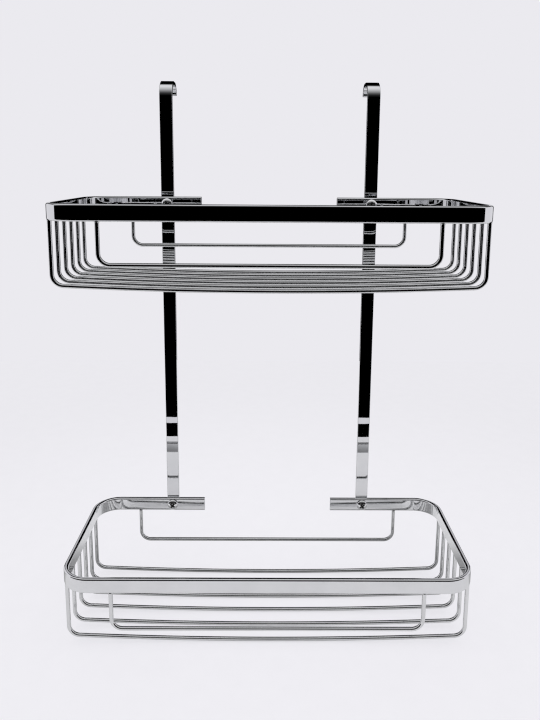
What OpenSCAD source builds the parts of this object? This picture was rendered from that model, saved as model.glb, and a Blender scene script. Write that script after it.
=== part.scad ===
// Two-tier hanging shower caddy in chromed steel.
// Two equal wire baskets are screwed to two flat uprights whose tops bend back into hooks.
// The origin is the centre of the footprint, at the height that the lower basket stands on.
// +X is to the right, +Y towards the panel that the hooks go over, +Z up.

/* [Rims] */
// Width of a basket over its rim
rim_w = 300; // [270:5:340]
// Depth of a basket over its rim
rim_d = 125; // [115:5:150]
// Height of the flat bar that the rim is bent from
rim_h = 11.5; // [10:0.5:14]
// Thickness of that flat bar
rim_t = 3.6; // [3.4:0.2:4.4]
// Radius of the flat bar's rounded edges
rim_edge_r = 1.5; // [1:0.1:1.6]
// Outer radius of the rim's four bends
rim_bend_r = 21; // [16:1:26]
// Gap between the rim's two free ends at the back
rim_gap = 111; // [90:1:130]
// Height from the top of the lower rim to the top of the upper rim
tier_pitch = 264.5; // [220:0.5:300]

/* [Wires] */
// Diameter of every wire
wire_d = 3; // [2.4:0.2:3.4]
// Radius of a wire's bends, on its centre line
wire_bend_r = 8; // [6:0.5:10]
// Depth of a floor wire's run below the top of the rim, at the run's ends
floor_drop = 56.5; // [45:0.5:70]
// How far the middle of a floor wire bows below its ends
floor_bow = 3; // [1:0.5:5]
// Distance from the back of the rim to the rearmost floor wire
floor_start = 20.2; // [16:0.2:24]
// Distance from one floor wire to the next
floor_pitch = 17.6; // [14:0.2:18]
// Width of a guard wire between the centre lines of its legs
guard_w = 224.6; // [190:0.2:240]
// Depth of a guard wire's run below the top of the rim
guard_drop = 40; // [30:0.5:44]

/* [Uprights] */
// Width of an upright
strip_w = 10.5; // [9:0.5:14]
// Thickness of an upright
strip_t = 3; // [2:0.5:4]
// Distance between the centre lines of the two uprights
strip_spacing = 167.4; // [130:0.2:200]
// Height of the hooks' tops above the upper rim
hook_rise = 93; // [60:1:140]
// Gap inside a hook, which is the thickest panel that it goes over
hook_gap = 24; // [20:1:40]
// Outer radius of a hook's front bend
hook_front_r = 14; // [8:0.5:14]
// Outer radius of a hook's back bend
hook_back_r = 10; // [6:0.5:10]

/* [Screws] */
// Diameter of a screw's shank
shank_d = 4.9; // [3.9:0.1:4.9]
// Diameter of a screw's head
head_d = 9; // [8:0.5:9.5]
// Height of a screw's head
head_h = 3; // [2.4:0.1:3.4]
// Width of a nut across its flats
nut_w = 8; // [7:0.5:9]
// Thickness of a nut
nut_h = 2.7; // [2.4:0.1:4]

/* [Hidden] */

left = -1;
right = 1;
floor_wires = 6;
chrome = [0.80, 0.81, 0.83];
dark_chrome = [0.62, 0.63, 0.66];

round_fn = 64;
wire_fn = 32;

// Front to back: the rims, then the uprights, then the hooks.
hook_d = hook_gap + 2 * strip_t;
rim_back_y = (rim_d - hook_d) / 2;
rim_mid_y = rim_back_y - rim_d / 2;
rim_corner_x = rim_w / 2 - rim_bend_r;
rim_corner_y = rim_d / 2 - rim_bend_r;
front_wire_y = rim_back_y - rim_d + rim_t / 2;
back_wire_y = rim_back_y - rim_t / 2;

// Heights, from the lowest point of the lower floor wires.
lower_rim_top = wire_d / 2 + floor_bow + floor_drop;
upper_rim_top = lower_rim_top + tier_pitch;
top_z = upper_rim_top + hook_rise;
strip_inset = 1;
strip_bottom = lower_rim_top - rim_h + strip_inset;
hook_bend_z = top_z - hook_front_r;

hole_d = shank_d + 0.5;
nut_bore_d = shank_d + 0.1;
shank_tip = 0.5;
dome_h = 1.8;
dome_r = (pow(head_d / 2, 2) + pow(dome_h, 2)) / (2 * dome_h);
recess_l = 5.6;
recess_t = 1.5;
recess_depth = 1.9;

// Half the distance between the rim bar's centre lines at depth y, inside the bends too.
function rim_centre_x(y) =
    let (past_bend = max(0, abs(y - rim_mid_y) - rim_corner_y))
    rim_corner_x + sqrt(pow(rim_bend_r - rim_t / 2, 2) - pow(past_bend, 2));

// Depth of floor wire i, counted from the front.
function floor_wire_y(i) = rim_back_y - floor_start - (floor_wires - i) * floor_pitch;

function rim_top(tier) = tier == "upper" ? upper_rim_top : lower_rim_top;

// ---- Rims ----

// The flat bar's section: x is its thickness and y its height.
module rim_section() {
    square([rim_t, rim_h - 2 * rim_edge_r], center = true);
    square([rim_t - 2 * rim_edge_r, rim_h], center = true);
    for (side = [left, right], end = [-1, 1])
        translate([side * (rim_t / 2 - rim_edge_r), end * (rim_h / 2 - rim_edge_r)])
            circle(r = rim_edge_r, $fn = wire_fn);
}

// A straight length of the bar from the origin along +X.
module rim_run(length) {
    rotate([90, 0, 90]) linear_extrude(length) rim_section();
}

// A quarter bend of the bar around the origin, from +X to +Y.
module rim_bend() {
    rotate_extrude(angle = 90, $fn = round_fn)
        translate([rim_bend_r - rim_t / 2, 0]) rim_section();
}

module rim_bar() {
    back_run = rim_corner_x - rim_gap / 2;
    translate([-rim_corner_x, front_wire_y, 0]) rim_run(2 * rim_corner_x);
    for (side = [left, right])
        translate([side * (rim_w - rim_t) / 2, rim_mid_y - rim_corner_y, 0])
            rotate([0, 0, 90]) rim_run(2 * rim_corner_y);
    translate([-rim_corner_x, back_wire_y, 0]) rim_run(back_run);
    translate([rim_gap / 2, back_wire_y, 0]) rim_run(back_run);
    for (corner = [[1, 1, 0], [-1, 1, 90], [-1, -1, 180], [1, -1, 270]])
        translate([corner[0] * rim_corner_x, rim_mid_y + corner[1] * rim_corner_y, 0])
            rotate([0, 0, corner[2]]) rim_bend();
}

module rim(tier) {
    color(chrome)
        translate([0, 0, rim_top(tier) - rim_h / 2])
            difference() {
                rim_bar();
                for (side = [left, right])
                    translate([side * strip_spacing / 2, rim_back_y - rim_t / 2, 0])
                        rotate([90, 0, 0]) cylinder(h = 3 * rim_t, d = hole_d, center = true, $fn = wire_fn);
            }
}

// ---- Wires ----

// A bend of the given angle in the XZ plane, from +X down towards -Z.
module wire_bend(angle) {
    rotate([-90, 0, 0])
        rotate_extrude(angle = angle, $fn = round_fn)
            translate([wire_bend_r, 0]) circle(d = wire_d, $fn = wire_fn);
}

// The two legs of a wire and their bends. The legs' tops are at z = 0, and the run is at -depth.
module wire_legs(span, depth, bend_angle) {
    leg = depth - wire_bend_r;
    for (side = [0, 1])
        mirror([side, 0, 0]) {
            translate([span / 2, 0, -leg]) cylinder(h = leg, d = wire_d, $fn = wire_fn);
            translate([span / 2 - wire_bend_r, 0, -leg]) wire_bend(bend_angle);
        }
}

// A U-shaped wire with a straight run.
module straight_wire(span, depth) {
    run = span - 2 * wire_bend_r;
    wire_legs(span, depth, 90);
    translate([-run / 2, 0, -depth])
        rotate([0, 90, 0]) cylinder(h = run, d = wire_d, $fn = wire_fn);
}

// A U-shaped wire whose run bows down in the middle. The bow is one arc that meets both bends
// in line, so each bend turns a little less than 90 degrees. A collar, thinner than a hair,
// closes the seam between each bend and the bow, so that the wire is one solid.
module bowed_wire(span, depth, bow) {
    half_run = span / 2 - wire_bend_r;
    bow_r = wire_bend_r + (pow(half_run, 2) + pow(bow, 2)) / (2 * bow);
    half_angle = asin(half_run / (bow_r - wire_bend_r));
    bow_steps = 12;
    collar_l = 1;
    collar_t = 0.05;
    wire_legs(span, depth, 90 - half_angle);
    for (side = [0, 1])
        mirror([side, 0, 0])
            translate([bow_r * sin(half_angle), 0, bow_r * (1 - cos(half_angle)) - depth - bow])
                rotate([0, 90 - half_angle, 0])
                    cylinder(h = collar_l, d = wire_d + 2 * collar_t, center = true, $fn = wire_fn);
    translate([0, 0, bow_r - depth - bow])
        rotate([90, 0, 0])
            rotate([0, 0, -90 - half_angle])
                rotate_extrude(angle = 2 * half_angle, $fn = bow_steps * ceil(180 / half_angle))
                    translate([bow_r, 0]) circle(d = wire_d, $fn = wire_fn);
}

module floor_wire(tier, i) {
    y = floor_wire_y(i);
    color(chrome)
        translate([0, y, rim_top(tier) - rim_h])
            bowed_wire(2 * rim_centre_x(y), floor_drop - rim_h, floor_bow);
}

module guard_wire(tier, y) {
    color(chrome)
        translate([0, y, rim_top(tier) - rim_h]) straight_wire(guard_w, guard_drop - rim_h);
}

// ---- Uprights ----

// A quarter ring in the +X, +Y quadrant: one bend of a hook seen from the side.
module hook_bend(outer_r) {
    intersection() {
        difference() {
            circle(r = outer_r, $fn = round_fn);
            circle(r = outer_r - strip_t, $fn = round_fn);
        }
        square(outer_r);
    }
}

// An upright seen from the side: x is depth from the rims' back faces, and y is height.
module upright_outline() {
    flat_d = hook_d - hook_front_r - hook_back_r;
    translate([0, strip_bottom]) square([strip_t, hook_bend_z - strip_bottom]);
    translate([hook_front_r, hook_bend_z]) mirror([1, 0]) hook_bend(hook_front_r);
    translate([hook_front_r, top_z - strip_t]) square([flat_d, strip_t]);
    translate([hook_d - hook_back_r, top_z - hook_back_r]) hook_bend(hook_back_r);
}

module upright(side) {
    color(dark_chrome)
        difference() {
            translate([side * strip_spacing / 2 - strip_w / 2, rim_back_y, 0])
                rotate([90, 0, 90]) linear_extrude(strip_w) upright_outline();
            for (tier = ["upper", "lower"])
                translate([side * strip_spacing / 2, rim_back_y + strip_t / 2, rim_top(tier) - rim_h / 2])
                    rotate([90, 0, 0]) cylinder(h = 3 * strip_t, d = hole_d, center = true, $fn = wire_fn);
        }
}

// ---- Screws and nuts ----

// One screw along Z: the underside of its head is at z = 0, and its shank points to -Z.
module screw() {
    shank = rim_t + strip_t + nut_h + shank_tip;
    difference() {
        intersection() {
            cylinder(h = head_h, d = head_d, $fn = wire_fn);
            translate([0, 0, head_h - dome_r]) sphere(r = dome_r, $fn = round_fn);
        }
        for (turn = [0, 90])
            rotate([0, 0, turn])
                translate([-recess_l / 2, -recess_t / 2, head_h - recess_depth])
                    cube([recess_l, recess_t, recess_depth]);
    }
    translate([0, 0, -shank]) cylinder(h = shank, d = shank_d, $fn = wire_fn);
}

// One hexagon nut along Z, with its bearing face at z = 0.
module nut() {
    difference() {
        cylinder(h = nut_h, d = nut_w / cos(30), $fn = 6);
        translate([0, 0, -nut_h / 2]) cylinder(h = 2 * nut_h, d = nut_bore_d, $fn = wire_fn);
    }
}

// Puts its children where each rim end crosses an upright, at depth y.
module at_crossings(y) {
    for (side = [left, right], tier = ["upper", "lower"])
        translate([side * strip_spacing / 2, y, rim_top(tier) - rim_h / 2]) children();
}

module basket_screws() {
    color(chrome) at_crossings(rim_back_y - rim_t) rotate([90, 0, 0]) screw();
}

module basket_nuts() {
    color(dark_chrome) at_crossings(rim_back_y + strip_t) rotate([-90, 0, 0]) nut();
}

// ---- The caddy ----

upright(left);  // left_upright
upright(right);  // right_upright
basket_screws();
basket_nuts();
for (tier = ["upper", "lower"]) {
    rim(tier);
    guard_wire(tier, front_wire_y);
    guard_wire(tier, back_wire_y);
    for (i = [1:floor_wires])
        floor_wire(tier, i);
}
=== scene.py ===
"""A two-tier hanging shower caddy in chromed steel, on a pale studio table."""

import math

import bmesh
import bpy
from mathutils import Matrix, Vector


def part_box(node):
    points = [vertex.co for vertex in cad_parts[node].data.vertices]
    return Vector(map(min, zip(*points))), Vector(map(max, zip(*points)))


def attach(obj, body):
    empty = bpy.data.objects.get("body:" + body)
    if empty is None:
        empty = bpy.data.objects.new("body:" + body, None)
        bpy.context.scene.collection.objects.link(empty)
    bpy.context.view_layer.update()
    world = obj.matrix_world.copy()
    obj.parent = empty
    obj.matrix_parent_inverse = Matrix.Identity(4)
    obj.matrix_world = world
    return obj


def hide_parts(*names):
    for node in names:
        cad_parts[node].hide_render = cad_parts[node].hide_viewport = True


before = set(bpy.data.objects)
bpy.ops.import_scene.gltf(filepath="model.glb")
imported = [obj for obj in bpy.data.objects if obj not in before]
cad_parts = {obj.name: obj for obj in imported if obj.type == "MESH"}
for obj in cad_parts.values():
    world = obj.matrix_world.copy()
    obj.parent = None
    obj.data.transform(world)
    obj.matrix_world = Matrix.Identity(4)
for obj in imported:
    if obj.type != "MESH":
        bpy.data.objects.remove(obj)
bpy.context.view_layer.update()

MM = 0.001
TIERS = ("upper", "lower")
SIDES = (-1, 1)
FLOOR_WIRES = range(1, 7)

# The bar, wire and strip, as in the CAD model.
RIM_T = 3.6 * MM
RIM_EDGE_R = 1.5 * MM
RIM_BEND_R = 21 * MM
RIM_GAP = 111 * MM
WIRE_R = 1.5 * MM
WIRE_BEND_R = 8 * MM
FLOOR_BOW = 3 * MM
STRIP_T = 3 * MM
STRIP_EDGE_R = 0.5 * MM
HOOK_FRONT_R = 14 * MM
HOOK_BACK_R = 10 * MM

# Screws and nuts.
HEAD_R = 4.5 * MM
HEAD_H = 3 * MM
DOME_H = 1.8 * MM
RECESS_L = 5.6 * MM
RECESS_T = 1.5 * MM
RECESS_DEPTH = 1.9 * MM
SHANK_R = 2.45 * MM
THREAD_PITCH = 0.8 * MM
THREAD_DEPTH = 0.4 * MM
NUT_W = 8 * MM
NUT_H = 2.7 * MM
SHANK_TIP = 0.5 * MM
HOLE_R = 2.7 * MM
DOME_R = (HEAD_R ** 2 + DOME_H ** 2) / (2 * DOME_H)

# Welds: how far a wire's end runs into the rim, the bead around it, and the rings that draw it.
WELD_BURY = 0.9 * MM
WELD_BEAD = 0.26 * MM
WELD_REACH = 0.55 * MM
WELD_STEP = 0.15 * MM
WELD_STEPS = 17

# How round things are drawn, and where smooth shading stops, in degrees.
BEND_STEPS = 28
WIRE_BEND_STEPS = 20
BOW_STEPS = 24
WIRE_TURNS = 32
HOLE_TURNS = 48
HEAD_TURNS = 64
THREAD_TURNS = 48
NUT_TURNS = 72
SHARP_ANGLE = 35
THREAD_SHARP_ANGLE = 60
NUT_SHARP_ANGLE = 25

# Points closer than MERGE_DIST are one point, and a sliver that a cut leaves is under SLIVER wide.
MERGE_DIST = 0.0001 * MM
SLIVER = 0.004 * MM

RIGHT = Vector((1, 0, 0))
BACK = Vector((0, 1, 0))
UP = Vector((0, 0, 1))

# The studio's paper white, as red, green and blue, and how much more blue than red its greys have.
PALE = (0.831, 0.823, 0.863)
COOL = 1.02


# ---- Mesh helpers ----


def keep_flats_flat(obj):
    """Lets the large faces set the normals, so that a rounded edge doesn't bend the light on a flat."""
    flatten = obj.modifiers.new("flat_faces", "WEIGHTED_NORMAL")
    flatten.keep_sharp = True
    flatten.weight = 100


def smooth_mesh(name, verts, faces, sharp_angle=SHARP_ANGLE):
    """An object from verts and faces, shaded smooth except at edges sharper than sharp_angle degrees."""
    mesh = bpy.data.meshes.new(name)
    mesh.from_pydata([tuple(v) for v in verts], [], faces)
    bm = bmesh.new()
    bm.from_mesh(mesh)
    bmesh.ops.remove_doubles(bm, verts=bm.verts, dist=MERGE_DIST)
    bmesh.ops.recalc_face_normals(bm, faces=bm.faces)
    bm.to_mesh(mesh)
    bm.free()
    mesh.polygons.foreach_set("use_smooth", [True] * len(mesh.polygons))
    mesh.set_sharp_from_angle(angle=math.radians(sharp_angle))
    obj = bpy.data.objects.new(name, mesh)
    bpy.context.scene.collection.objects.link(obj)
    keep_flats_flat(obj)
    return obj


def loft(name, rings, sharp_angle=SHARP_ANGLE, closed=False):
    """A skin over rings of equally many points, with its ends filled unless the skin closes on itself."""
    count = len(rings[0])
    verts = [p for ring in rings for p in ring]
    faces = []
    spans = len(rings) if closed else len(rings) - 1
    for i in range(spans):
        a, b = i * count, ((i + 1) % len(rings)) * count
        for j in range(count):
            k = (j + 1) % count
            faces.append((a + j, a + k, b + k, b + j))
    if not closed:
        faces.append(tuple(range(count)))
        last = (len(rings) - 1) * count
        faces.append(tuple(range(last, last + count)))
    return smooth_mesh(name, verts, faces, sharp_angle)


def ring_points(centre, side, other, turns, radius_at):
    """A ring of points around a centre, from side towards other. radius_at(angle) gives its radius."""
    points = []
    for i in range(turns):
        a = 2 * math.pi * i / turns
        points.append(centre + (side * math.cos(a) + other * math.sin(a)) * radius_at(a))
    return points


def rounded_rectangle(width, height, radius, steps=8):
    """The outline of a rounded rectangle around the origin, as (u, v) pairs."""
    points = []
    corners = ((1, 1, 0), (-1, 1, 90), (-1, -1, 180), (1, -1, 270))
    for cu, cv, start in corners:
        for i in range(steps + 1):
            a = math.radians(start + 90 * i / steps)
            u = cu * (width / 2 - radius) + radius * math.cos(a)
            v = cv * (height / 2 - radius) + radius * math.sin(a)
            points.append((u, v))
    return points


def bar_ring(width, height, radius, inset, place):
    """One ring of a bar whose section is drawn in by inset. place(u, v) gives the point in space."""
    section = rounded_rectangle(width - 2 * inset, height - 2 * inset, max(radius - inset, 0.05 * MM))
    return [place(u, v) for u, v in section]


def bevelled_bar(name, stations, width, height, radius, bevel=0.4 * MM, bevel_steps=3):
    """A bar along stations of (position, across, up), with its two ends bevelled.

    Each station's across and up are unit vectors that carry the section's width and height.
    """

    def ring(station, inset=0.0, shift=Vector((0, 0, 0))):
        position, across, up = station
        return bar_ring(width, height, radius, inset, lambda u, v: position + shift + u * across + v * up)

    def end(station, inward):
        steps = []
        for i in range(bevel_steps, -1, -1):
            a = math.radians(90 * i / bevel_steps)
            steps.append(ring(station, bevel * (1 - math.cos(a)), inward * bevel * (1 - math.sin(a))))
        return steps

    first = (stations[1][0] - stations[0][0]).normalized()
    last = (stations[-2][0] - stations[-1][0]).normalized()
    rings = end(stations[0], first)
    rings += [ring(s) for s in stations[1:-1]]
    rings += end(stations[-1], last)[::-1]
    return loft(name, rings)


def lathe(name, profile, foot, axis, turns=HEAD_TURNS, radius_at=None, sharp_angle=SHARP_ANGLE):
    """A profile of (radius, height) pairs turned around an axis. radius_at(angle, r, h) may shape it."""
    axis = axis.normalized()
    side = axis.orthogonal().normalized()
    other = axis.cross(side)
    rings = []
    for radius, height in profile:
        rings.append(ring_points(foot + axis * height, side, other, turns,
                                 lambda a: radius_at(a, radius, height) if radius_at else radius))
    return loft(name, rings, sharp_angle)


def join(name, objects):
    """One object made of several."""
    with bpy.context.temp_override(active_object=objects[0], selected_editable_objects=objects):
        bpy.ops.object.join()
    objects[0].name = name
    objects[0].data.name = name
    return objects[0]


def cut(target, cutter):
    """Takes the cutter's shape out of the target, and the slivers that this leaves out of its mesh."""
    modifier = target.modifiers.new("cut", "BOOLEAN")
    modifier.operation = "DIFFERENCE"
    modifier.solver = "EXACT"
    modifier.object = cutter
    evaluated = target.evaluated_get(bpy.context.evaluated_depsgraph_get())
    mesh = bpy.data.meshes.new_from_object(evaluated)
    bm = bmesh.new()
    bm.from_mesh(mesh)
    bmesh.ops.dissolve_degenerate(bm, dist=SLIVER, edges=bm.edges)
    bm.to_mesh(mesh)
    bm.free()
    target.modifiers.clear()
    target.data = mesh
    bpy.data.objects.remove(cutter)


def set_sharp_edges(obj):
    """Marks the edges that smooth shading stops at."""
    obj.data.set_sharp_from_angle(angle=math.radians(SHARP_ANGLE))


def drill(piece, places, front_y, back_y):
    """Cuts the screws' holes through a piece from front_y to back_y, at places of (x, z)."""
    for x, z in places:
        ends = [Vector((x, y, z)) for y in (back_y, front_y)]
        cut(piece, loft("drill", [ring_points(end, RIGHT, UP, HOLE_TURNS, lambda a: HOLE_R) for end in ends]))
    set_sharp_edges(piece)
    keep_flats_flat(piece)


def crossings():
    """Where each rim end crosses an upright, as (x, z)."""
    places = []
    for side_name in ("left", "right"):
        low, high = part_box(f"{side_name}_upright")
        for tier in TIERS:
            rim_low, rim_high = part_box(f"{tier}_rim")
            places.append(((low[0] + high[0]) / 2, (rim_low[2] + rim_high[2]) / 2))
    return places


def finish_piece(piece, material, slot, *nodes):
    """Gives a piece its material, and puts it in place of its CAD nodes. Its slot argument is not used."""
    piece.data.materials.clear()
    piece.data.materials.append(material)
    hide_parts(*nodes)
    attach(piece, "root")


# ---- Materials ----

# Noise textures keep mostly between these values.
NOISE_LOW = 0.3
NOISE_HIGH = 0.7


def new_material(name):
    """A node material with a Principled shader. Returns it with its nodes, links and shader."""
    material = bpy.data.materials.new(name)
    material.use_nodes = True
    nodes, links = material.node_tree.nodes, material.node_tree.links
    return material, nodes, links, nodes["Principled BSDF"]


def noise_texture(nodes, links, scale, detail=3.0, stretch=(1, 1, 1)):
    """Noise over the object's own coordinates in metres, stretched along the axes. Returns its value."""
    place = nodes.new("ShaderNodeTexCoord")
    mapping = nodes.new("ShaderNodeMapping")
    mapping.inputs["Scale"].default_value = stretch
    texture = nodes.new("ShaderNodeTexNoise")
    texture.inputs["Scale"].default_value = scale
    texture.inputs["Detail"].default_value = detail
    links.new(place.outputs["Object"], mapping.inputs["Vector"])
    links.new(mapping.outputs["Vector"], texture.inputs["Vector"])
    return texture.outputs["Fac"]


def ranged(nodes, links, value, low, high):
    """A noise value spread from low to high."""
    spread = nodes.new("ShaderNodeMapRange")
    spread.inputs["From Min"].default_value = NOISE_LOW
    spread.inputs["From Max"].default_value = NOISE_HIGH
    spread.inputs["To Min"].default_value = low
    spread.inputs["To Max"].default_value = high
    links.new(value, spread.inputs["Value"])
    return spread.outputs["Result"]


def tinted(nodes, links, value, dark, light):
    """A colour that a noise value moves from dark to light."""
    ramp = nodes.new("ShaderNodeValToRGB")
    ramp.color_ramp.elements[0].position = NOISE_LOW
    ramp.color_ramp.elements[0].color = (*dark, 1)
    ramp.color_ramp.elements[1].position = NOISE_HIGH
    ramp.color_ramp.elements[1].color = (*light, 1)
    links.new(value, ramp.inputs["Fac"])
    return ramp.outputs["Color"]


def bumped(nodes, links, height, distance, under=None):
    """A bump of the given height value, over another bump if there is one."""
    bump = nodes.new("ShaderNodeBump")
    bump.inputs["Distance"].default_value = distance
    bump.inputs["Strength"].default_value = 1.0
    links.new(height, bump.inputs["Height"])
    if under:
        links.new(under, bump.inputs["Normal"])
    return bump.outputs["Normal"]


def chrome(name, dark, light, grain=(1, 1, 1), roughness=(0.004, 0.02)):
    """Polished chrome plate, with a faint ripple from the steel below and fine lines along the grain."""
    ripple_depth, polish_depth = 0.004 * MM, 0.0002 * MM
    material, nodes, links, shader = new_material(name)
    shader.inputs["Metallic"].default_value = 1.0
    plate = noise_texture(nodes, links, 45, 2.0)
    polish = noise_texture(nodes, links, 900, 4.0, grain)
    ripple = noise_texture(nodes, links, 110, 1.0)
    links.new(tinted(nodes, links, plate, dark, light), shader.inputs["Base Color"])
    links.new(ranged(nodes, links, polish, *roughness), shader.inputs["Roughness"])
    wave = bumped(nodes, links, ripple, ripple_depth)
    links.new(bumped(nodes, links, polish, polish_depth, under=wave), shader.inputs["Normal"])
    return material


def zinc(name):
    """Bright zinc plate: a duller, slightly blue metal with a fine grain."""
    dark, light = (0.46, 0.48, 0.52), (0.62, 0.64, 0.68)
    material, nodes, links, shader = new_material(name)
    shader.inputs["Metallic"].default_value = 1.0
    grain = noise_texture(nodes, links, 1500, 5.0)
    patches = noise_texture(nodes, links, 300, 2.0)
    links.new(tinted(nodes, links, patches, dark, light), shader.inputs["Base Color"])
    links.new(ranged(nodes, links, grain, 0.22, 0.38), shader.inputs["Roughness"])
    links.new(bumped(nodes, links, grain, 0.01 * MM), shader.inputs["Normal"])
    return material


def recess(name):
    """Painted shade: a near-black steel for the screws' cross recesses, which lie in shadow."""
    dark, light = (0.012, 0.012, 0.013), (0.05, 0.048, 0.046)
    material, nodes, links, shader = new_material(name)
    shader.inputs["Metallic"].default_value = 0.6
    # The noise only varies the painted shade's darkness and roughness.
    shade_noise = noise_texture(nodes, links, 2500, 4.0)
    links.new(tinted(nodes, links, shade_noise, dark, light), shader.inputs["Base Color"])
    links.new(ranged(nodes, links, shade_noise, 0.45, 0.7), shader.inputs["Roughness"])
    return material


RIM_CHROME = chrome("rim_chrome", (0.70, 0.705, 0.715), (0.76, 0.765, 0.775), grain=(0.2, 0.2, 1))
WIRE_CHROME = chrome("wire_chrome", (0.68, 0.685, 0.69), (0.75, 0.755, 0.76), grain=(0.15, 1, 1))
UPRIGHT_CHROME = chrome("upright_chrome", (0.68, 0.685, 0.70), (0.74, 0.745, 0.755), grain=(1, 1, 0.1))
SCREW_CHROME = chrome("screw_chrome", (0.90, 0.905, 0.915), (0.96, 0.965, 0.97), roughness=(0.08, 0.14))
NUT_ZINC = zinc("nut_zinc")
# A near-black material that paints shade into the screws' recesses.
RECESS_PAINTED_SHADE = recess("recess_painted_shade")


# ---- Rims ----


def rim_stations(low, high):
    """Along the rim bar from its left free end, round the front, to its right free end.

    Across points out of the basket, and up is +Z.
    """
    z = (low.z + high.z) / 2
    back = high.y - RIM_T / 2
    corner_x = high.x - RIM_BEND_R
    corner_low, corner_high = low.y + RIM_BEND_R, high.y - RIM_BEND_R
    bend_r = RIM_BEND_R - RIM_T / 2
    stations = [(Vector((-RIM_GAP / 2, back, z)), BACK, UP)]
    corners = ((-corner_x, corner_high, 90), (-corner_x, corner_low, 180),
               (corner_x, corner_low, 270), (corner_x, corner_high, 360))
    for x, y, start in corners:
        for i in range(BEND_STEPS + 1):
            a = math.radians(start + 90 * i / BEND_STEPS)
            out = Vector((math.cos(a), math.sin(a), 0))
            stations.append((Vector((x, y, z)) + bend_r * out, out, UP))
    stations.append((Vector((RIM_GAP / 2, back, z)), BACK, UP))
    return stations


def make_rim(tier):
    """A basket's rim: a flat bar bent into a C, with a screw hole near each end."""
    node = f"{tier}_rim"
    low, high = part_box(node)
    stations = rim_stations(Vector(low), Vector(high))
    piece = bevelled_bar(f"{tier}_rim_bar", stations, RIM_T, high[2] - low[2], RIM_EDGE_R)
    holes = [(x, z) for x, z in crossings() if low[2] < z < high[2]]
    drill(piece, holes, high[1] - 2 * RIM_T, high[1] + RIM_T)
    finish_piece(piece, RIM_CHROME, "rim_chrome", node)


# ---- Wires ----


def arc_points(centre, radius, start, sweep, steps):
    """Points and headings along an arc in the XZ plane. start and sweep are in degrees."""
    found = []
    for i in range(steps + 1):
        a = math.radians(start + sweep * i / steps)
        point = Vector((centre[0] + radius * math.cos(a), 0, centre[1] + radius * math.sin(a)))
        turn = 1 if sweep > 0 else -1
        found.append((point, Vector((-math.sin(a), 0, math.cos(a))) * turn))
    return found


def wire_path(half_span, top, run_z, bow):
    """Points and headings of a U-shaped wire, from its right leg's top to its left leg's top.

    The run is at run_z at its ends and bows down by bow in the middle.
    """
    half_run = half_span - WIRE_BEND_R
    bend_z = run_z + WIRE_BEND_R
    depths = [WELD_STEP * i for i in range(WELD_STEPS)]
    right_leg = [(Vector((half_span, 0, top - d)), -UP) for d in depths]
    left_leg = [(Vector((-half_span, 0, top - d)), UP) for d in reversed(depths)]
    if bow:
        bow_r = WIRE_BEND_R + (half_run ** 2 + bow ** 2) / (2 * bow)
        tilt = math.degrees(math.asin(half_run / (bow_r - WIRE_BEND_R)))
        run = arc_points((0, run_z - bow + bow_r), bow_r, -90 + tilt, -2 * tilt, BOW_STEPS)[1:-1]
    else:
        tilt = 0
        run = []
    right_bend = arc_points((half_run, bend_z), WIRE_BEND_R, 0, -90 + tilt, WIRE_BEND_STEPS)
    left_bend = arc_points((-half_run, bend_z), WIRE_BEND_R, -90 - tilt, -90 + tilt, WIRE_BEND_STEPS)
    return right_leg + right_bend + run + left_bend + left_leg


def weld_radius(distance):
    """The wire's radius at a distance from its end, with the weld's bead where it meets the rim."""
    return WIRE_R + WELD_BEAD * math.exp(-((distance - WELD_BURY) / WELD_REACH) ** 2)


def make_wire(tier, part, bow):
    """A U-shaped wire that hangs from the rim by its two welded ends."""
    node = f"{tier}_{part}"
    low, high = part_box(node)
    place = Vector((0, (low[1] + high[1]) / 2, 0))
    top = high[2] + WELD_BURY
    rings = []
    for point, heading in wire_path(high[0] - WIRE_R, top, low[2] + WIRE_R + bow, bow):
        radius = weld_radius(top - point.z)
        rings.append(ring_points(point + place, heading.cross(BACK), BACK, WIRE_TURNS, lambda a: radius))
    piece = loft(f"{node}_rod", rings)
    finish_piece(piece, WIRE_CHROME, "wire_chrome", node)


# ---- Uprights ----


def upright_stations(low, high):
    """Along an upright from its lower end, over the hook, to the hook's tip.

    Across is +X, and up points out of the strip's front, which becomes its top over the hook.
    """
    x = (low.x + high.x) / 2
    stations = [(Vector((x, low.y + STRIP_T / 2, low.z)), RIGHT, -BACK)]
    bends = ((low.y + HOOK_FRONT_R, HOOK_FRONT_R, 180), (high.y - HOOK_BACK_R, HOOK_BACK_R, 90))
    for y, bend_r, start in bends:
        centre = Vector((x, y, high.z - bend_r))
        for i in range(BEND_STEPS + 1):
            a = math.radians(start - 90 * i / BEND_STEPS)
            out = Vector((0, math.cos(a), math.sin(a)))
            stations.append((centre + (bend_r - STRIP_T / 2) * out, RIGHT, out))
    return stations


def make_upright(side_name):
    """A flat strip with a hook at its top, and a screw hole behind each rim."""
    node = f"{side_name}_upright"
    low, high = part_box(node)
    stations = upright_stations(Vector(low), Vector(high))
    piece = bevelled_bar(f"{node}_strip", stations, high[0] - low[0], STRIP_T, STRIP_EDGE_R)
    holes = [(x, z) for x, z in crossings() if low[0] < x < high[0]]
    drill(piece, holes, low[1] - STRIP_T, low[1] + 2 * STRIP_T)
    finish_piece(piece, UPRIGHT_CHROME, "upright_chrome", node)


# ---- Screws and nuts ----


def dome_height(radius):
    """The dome's height over the bar at a distance from the screw's axis."""
    return HEAD_H - DOME_R + math.sqrt(DOME_R ** 2 - min(radius, HEAD_R) ** 2)


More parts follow.
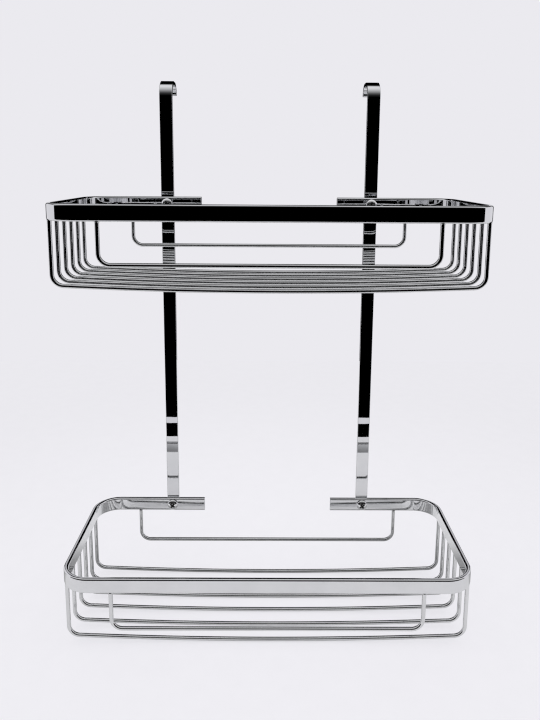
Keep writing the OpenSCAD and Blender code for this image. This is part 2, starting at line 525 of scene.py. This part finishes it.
def head_profile():
    """A pan head's profile from the middle of its flat underside, round its edge, to the top of its dome."""
    edge, middle_r, dome_steps = 0.25 * MM, 0.02 * MM, 12
    dome_sweep = math.asin(HEAD_R / DOME_R) * 0.97
    profile = [(middle_r, 0), (HEAD_R - edge, 0), (HEAD_R, edge), (HEAD_R, HEAD_H - DOME_H - edge)]
    for i in range(dome_steps + 1):
        a = dome_sweep * (1 - i / dome_steps)
        profile.append((max(DOME_R * math.sin(a), middle_r), HEAD_H - DOME_R * (1 - math.cos(a))))
    return profile


def recess_cutter(seat, toward, turn):
    """One slot of the cross recess, which narrows as it goes down from over the dome."""
    along = Matrix.Rotation(turn, 4, toward) @ RIGHT
    wide = toward.cross(along)
    over_dome, corners = -0.5 * MM, ((1, 1), (-1, 1), (-1, -1), (1, -1))
    rings = []
    for depth, spread in ((over_dome, 1.1), (0.0, 1.0), (RECESS_DEPTH, 0.6)):
        half_l = RECESS_L / 2 * spread
        half_t = RECESS_T / 2 * (1 + spread) / 2
        centre = seat + toward * (HEAD_H - depth)
        rings.append([centre + along * u * half_l + wide * v * half_t for u, v in corners])
    return loft("cutter", rings)


def make_screw(index, x, z):
    """A screw's head and its threaded shank. Each screw's recess is turned its own way."""
    seat = Vector((x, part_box("upper_rim")[1][1] - RIM_T, z))
    head = lathe(f"screw_head_{index}", head_profile(), seat, -BACK)
    first_turn, turn_apart = 20, 35
    start = math.radians(first_turn + turn_apart * index)
    for turn in (start, start + math.pi / 2):
        cut(head, recess_cutter(seat, -BACK, turn))
    set_sharp_edges(head)
    length = RIM_T + STRIP_T + NUT_H + SHANK_TIP
    chamfer, thread_step = 0.4 * MM, 0.1 * MM
    steps = int(length / thread_step)

    def thread(angle, radius, height):
        phase = (height / THREAD_PITCH - angle / (2 * math.pi)) % 1
        groove = THREAD_DEPTH * abs(2 * phase - 1)
        return min(radius - groove, SHANK_R - chamfer + max(length - height, 0))

    profile = [(SHANK_R, length * i / steps) for i in range(steps + 1)]
    shank = lathe(f"screw_shank_{index}", profile, seat, BACK, THREAD_TURNS, thread, THREAD_SHARP_ANGLE)
    return [head, shank]


def make_nut(index, x, z):
    """A hexagon nut with chamfered corners and a countersunk bore, flat against the upright's back."""
    seat = Vector((x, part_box("left_upright")[0][1] + STRIP_T, z))
    flat_r = NUT_W / 2
    bore, sink = SHANK_R + 0.05 * MM, 0.35 * MM
    face_share, chamfer_slope = 0.97, 1.7

    def hexagon(angle, height):
        corner = flat_r / math.cos((angle + math.pi / 6) % (math.pi / 3) - math.pi / 6)
        chamfer = flat_r * face_share + min(height, NUT_H - height) * chamfer_slope
        return min(corner, chamfer)

    shares = (0, 0.04, 0.08, 0.12, 0.16, 0.2, 0.8, 0.84, 0.88, 0.92, 0.96, 1)
    rings = []
    for height in [NUT_H * share for share in shares]:
        rings.append(ring_points(seat + BACK * height, RIGHT, UP, NUT_TURNS, lambda a: hexagon(a, height)))
    for radius, height in ((bore + sink, NUT_H), (bore, NUT_H - sink), (bore, sink), (bore + sink, 0)):
        rings.append(ring_points(seat + BACK * height, RIGHT, UP, NUT_TURNS, lambda a: radius))
    return loft(f"nut_{index}", rings, NUT_SHARP_ANGLE, closed=True)


def paint_recess_shade(screw_set, places):
    """Gives the painted shade, a near-black steel, to the faces that lie in the heads' recesses, well under
    their domes.
    """
    over_seat, under_dome, reach = 0.1 * MM, 0.15 * MM, HEAD_R * 0.8
    screw_set.data.materials.append(RECESS_PAINTED_SHADE)
    seat_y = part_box("upper_rim")[1][1] - RIM_T
    for face in screw_set.data.polygons:
        spot = face.center
        height = seat_y - spot.y
        radius = min(math.hypot(spot.x - x, spot.z - z) for x, z in places)
        if over_seat < height < dome_height(radius) - under_dome and radius < reach:
            # Painted shade: this recess face gets the near-black material.
            face.material_index = 1


def make_fasteners():
    """The four screws as one piece, and the four nuts as another."""
    screws, nuts = [], []
    places = crossings()
    for index, (x, z) in enumerate(places):
        screws += make_screw(index, x, z)
        nuts.append(make_nut(index, x, z))
    screw_set = join("basket_screw_set", screws)
    finish_piece(screw_set, SCREW_CHROME, "screw_chrome", "basket_screws")
    paint_recess_shade(screw_set, places)
    finish_piece(join("basket_nut_set", nuts), NUT_ZINC, "nut_steel", "basket_nuts")


# ---- Studio ----


def sheet_of(name, corners, material):
    """A flat stage object with four corners."""
    sheet = smooth_mesh(name, corners, [(0, 1, 2, 3)])
    sheet.modifiers.clear()
    sheet.data.materials.append(material)
    return sheet


def floor_sheet(name, half_w, near_y, far_y, material):
    """A sheet on the floor, from near_y to far_y."""
    corners = ((-half_w, near_y, 0), (half_w, near_y, 0), (half_w, far_y, 0), (-half_w, far_y, 0))
    return sheet_of(name, corners, material)


def glow(name, level):
    """A pale material that gives off an even light."""
    material = bpy.data.materials.new(name)
    material.use_nodes = True
    nodes, links = material.node_tree.nodes, material.node_tree.links
    nodes.clear()
    light = nodes.new("ShaderNodeEmission")
    light.inputs["Color"].default_value = (*PALE, 1)
    light.inputs["Strength"].default_value = level
    out = nodes.new("ShaderNodeOutputMaterial")
    links.new(light.outputs["Emission"], out.inputs["Surface"])
    return material


def table_material(near, far):
    """Pale paper that gives off light, most of it around the caddy, so that shadows on it are faint.

    Reflections see the paper without that light, with full shadows, and with a painted shadow of the caddy's
    back: a dim band across the stretch from near to far.
    """
    paper_dark, paper_light = (0.275, 0.272, 0.285), (0.285, 0.282, 0.295)
    edge_light, middle_light, pool_scale = 0.66, 0.74, 1.7
    paper = (0.86, 0.855, 0.88, 1)
    # Painted shadow seen in reflections: shares of the stretch from near to far, each with its grey.
    shadow_bands = ((0.3, 0.82), (0.45, 0.4), (0.65, 0.4), (0.8, 0.84))

    material, nodes, links, shader = new_material("pale_table")
    fibre = noise_texture(nodes, links, 60, 4.0)
    links.new(tinted(nodes, links, fibre, paper_dark, paper_light), shader.inputs["Base Color"])
    shader.inputs["Roughness"].default_value = 1.0
    shader.inputs["Specular IOR Level"].default_value = 0.0
    place = nodes.new("ShaderNodeTexCoord")
    mapping = nodes.new("ShaderNodeMapping")
    mapping.inputs["Scale"].default_value = (pool_scale, pool_scale, pool_scale)
    pool = nodes.new("ShaderNodeTexGradient")
    pool.gradient_type = "SPHERICAL"
    links.new(place.outputs["Object"], mapping.inputs["Vector"])
    links.new(mapping.outputs["Vector"], pool.inputs["Vector"])
    level = nodes.new("ShaderNodeMapRange")
    level.interpolation_type = "SMOOTHSTEP"
    level.inputs["To Min"].default_value = edge_light
    level.inputs["To Max"].default_value = middle_light
    links.new(pool.outputs["Fac"], level.inputs["Value"])
    shader.inputs["Emission Color"].default_value = (*PALE, 1)
    links.new(level.outputs["Result"], shader.inputs["Emission Strength"])

    split = nodes.new("ShaderNodeSeparateXYZ")
    links.new(place.outputs["Object"], split.inputs["Vector"])
    depth = nodes.new("ShaderNodeMapRange")
    depth.inputs["From Min"].default_value = near
    depth.inputs["From Max"].default_value = far
    links.new(split.outputs["Y"], depth.inputs["Value"])
    # This ramp paints the caddy's shadow into the paper that reflections see.
    dim = nodes.new("ShaderNodeValToRGB")
    elements = dim.color_ramp.elements
    elements[0].color = paper
    elements[1].color = paper
    for share, grey in shadow_bands:
        elements.new(share).color = (grey, grey, grey * COOL, 1)
    links.new(depth.outputs["Result"], dim.inputs["Fac"])
    plain = nodes.new("ShaderNodeBsdfDiffuse")
    links.new(dim.outputs["Color"], plain.inputs["Color"])
    paths = nodes.new("ShaderNodeLightPath")
    mix = nodes.new("ShaderNodeMixShader")
    links.new(paths.outputs["Is Glossy Ray"], mix.inputs["Fac"])
    links.new(shader.outputs["BSDF"], mix.inputs[1])
    links.new(plain.outputs["BSDF"], mix.inputs[2])
    links.new(mix.outputs["Shader"], nodes["Material Output"].inputs["Surface"])
    return material


def make_table():
    """A pale table top, and a pale rail in front of it with a gap between them."""
    half_w, near_y, far_y = 600 * MM, -241 * MM, 700 * MM
    rail_near_y, rail_far_y = -312 * MM, -289 * MM
    # The painted shadow in reflections runs from just in front of the upper rim to behind the caddy.
    shadow_near_y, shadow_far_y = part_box("upper_rim")[0][1] - 12 * MM, 120 * MM
    floor_sheet("table_top", half_w, near_y, far_y, table_material(shadow_near_y, shadow_far_y))
    floor_sheet("table_rail", half_w, rail_near_y, rail_far_y, glow("rail_glow", 1.0))


def make_screens():
    """Pale screens beside and behind the caddy, which only its reflections show."""
    near_y, far_y, top_z = -160 * MM, 420 * MM, 550 * MM
    wing_y, wing_low_z, wing_high_z = 700 * MM, 200 * MM, 800 * MM
    for side in SIDES:
        outer_x, inner_x = side * 600 * MM, side * 300 * MM
        corners = ((outer_x, near_y, 0), (outer_x, far_y, 0),
                   (outer_x, far_y, top_z), (outer_x, near_y, top_z))
        screen = sheet_of(f"side_screen_{side}", corners, glow("side_glow", 1.0))
        corners = ((inner_x, wing_y, wing_low_z), (outer_x, wing_y, wing_low_z),
                   (outer_x, wing_y, wing_high_z), (inner_x, wing_y, wing_high_z))
        wing = sheet_of(f"back_wing_{side}", corners, glow("wing_glow", 0.7))
        for sheet in (screen, wing):
            sheet.visible_camera = False
            sheet.visible_diffuse = False
            sheet.visible_shadow = False


def make_world():
    """A pale surround. Reflections see a dark room with a soft light overhead instead."""
    world = bpy.data.worlds.new("studio")
    bpy.context.scene.world = world
    world.use_nodes = True
    world.cycles.sampling_method = "NONE"
    nodes, links = world.node_tree.nodes, world.node_tree.links
    nodes.clear()

    place = nodes.new("ShaderNodeTexCoord")
    split = nodes.new("ShaderNodeSeparateXYZ")
    links.new(place.outputs["Generated"], split.inputs["Vector"])
    forward = nodes.new("ShaderNodeMath")
    forward.operation = "MULTIPLY"
    forward.inputs[1].default_value = -1
    links.new(split.outputs["Y"], forward.inputs[0])
    angle = nodes.new("ShaderNodeMath")
    angle.operation = "ARCTAN2"
    links.new(split.outputs["Z"], angle.inputs[0])
    links.new(forward.outputs["Value"], angle.inputs[1])
    share = nodes.new("ShaderNodeMath")
    share.operation = "DIVIDE"
    share.inputs[1].default_value = math.pi
    links.new(angle.outputs["Value"], share.inputs[0])

    # Degrees from the front horizon (0), over the top (90), to the back horizon (180), each with its grey.
    ramp = nodes.new("ShaderNodeValToRGB")
    stops = ((16, 0.0), (28, 0.02), (38, 0.1), (50, 0.34), (65, 0.66),
             (80, 0.92), (92, 0.92), (98, 0.6), (102, 0.2), (106, 0.0))
    elements = ramp.color_ramp.elements
    elements[0].color = (0, 0, 0, 1)
    elements[1].color = (0, 0, 0, 1)
    for degrees, level in stops:
        elements.new(degrees / 180).color = (level, level, level * COOL, 1)
    links.new(share.outputs["Value"], ramp.inputs["Fac"])

    paths = nodes.new("ShaderNodeLightPath")
    pale = nodes.new("ShaderNodeBackground")
    pale.inputs["Color"].default_value = (*PALE, 1)
    fill = nodes.new("ShaderNodeBackground")
    fill.inputs["Color"].default_value = (1, 1, 1, 1)
    seen = nodes.new("ShaderNodeBackground")
    links.new(ramp.outputs["Color"], seen.inputs["Color"])
    glossy = nodes.new("ShaderNodeMixShader")
    links.new(paths.outputs["Is Glossy Ray"], glossy.inputs["Fac"])
    links.new(fill.outputs["Background"], glossy.inputs[1])
    links.new(seen.outputs["Background"], glossy.inputs[2])
    direct = nodes.new("ShaderNodeMixShader")
    links.new(paths.outputs["Is Camera Ray"], direct.inputs["Fac"])
    links.new(glossy.outputs["Shader"], direct.inputs[1])
    links.new(pale.outputs["Background"], direct.inputs[2])
    out = nodes.new("ShaderNodeOutputWorld")
    links.new(direct.outputs["Shader"], out.inputs["Surface"])


def make_camera():
    """A camera a little above the upper basket, looking slightly down."""
    rim_back, rim_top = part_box("upper_rim")[1][1:]
    shift_left, distance, rise = 2.6 * MM, 567.5 * MM, 22.8 * MM
    turn_right, tilt_down, roll = math.radians(0.37), math.radians(10.02), math.radians(0.38)
    data = bpy.data.cameras.new("camera")
    data.sensor_fit = "HORIZONTAL"
    data.sensor_width = 36
    data.lens = 45.6
    data.shift_y = -0.13
    data.dof.use_dof = False
    camera = bpy.data.objects.new("camera", data)
    bpy.context.scene.collection.objects.link(camera)
    position = Vector((-shift_left, rim_back - distance, rim_top + rise))
    camera.matrix_world = (Matrix.Translation(position)
                           @ Matrix.Rotation(-turn_right, 4, "Z")
                           @ Matrix.Rotation(math.pi / 2 - tilt_down, 4, "X")
                           @ Matrix.Rotation(roll, 4, "Z"))
    bpy.context.scene.camera = camera


# ---- The scene ----

bpy.context.scene.view_settings.view_transform = "Standard"
bpy.context.scene.cycles.filter_width = 1.2  # in pixels, a little crisper than Blender's own 1.5
make_camera()
make_world()
make_table()
make_screens()
for tier in TIERS:
    make_rim(tier)
    for i in FLOOR_WIRES:
        make_wire(tier, f"floor_wire_{i}", FLOOR_BOW)
    make_wire(tier, "front_guard", 0)
    make_wire(tier, "back_guard", 0)
make_upright("left")
make_upright("right")
make_fasteners()
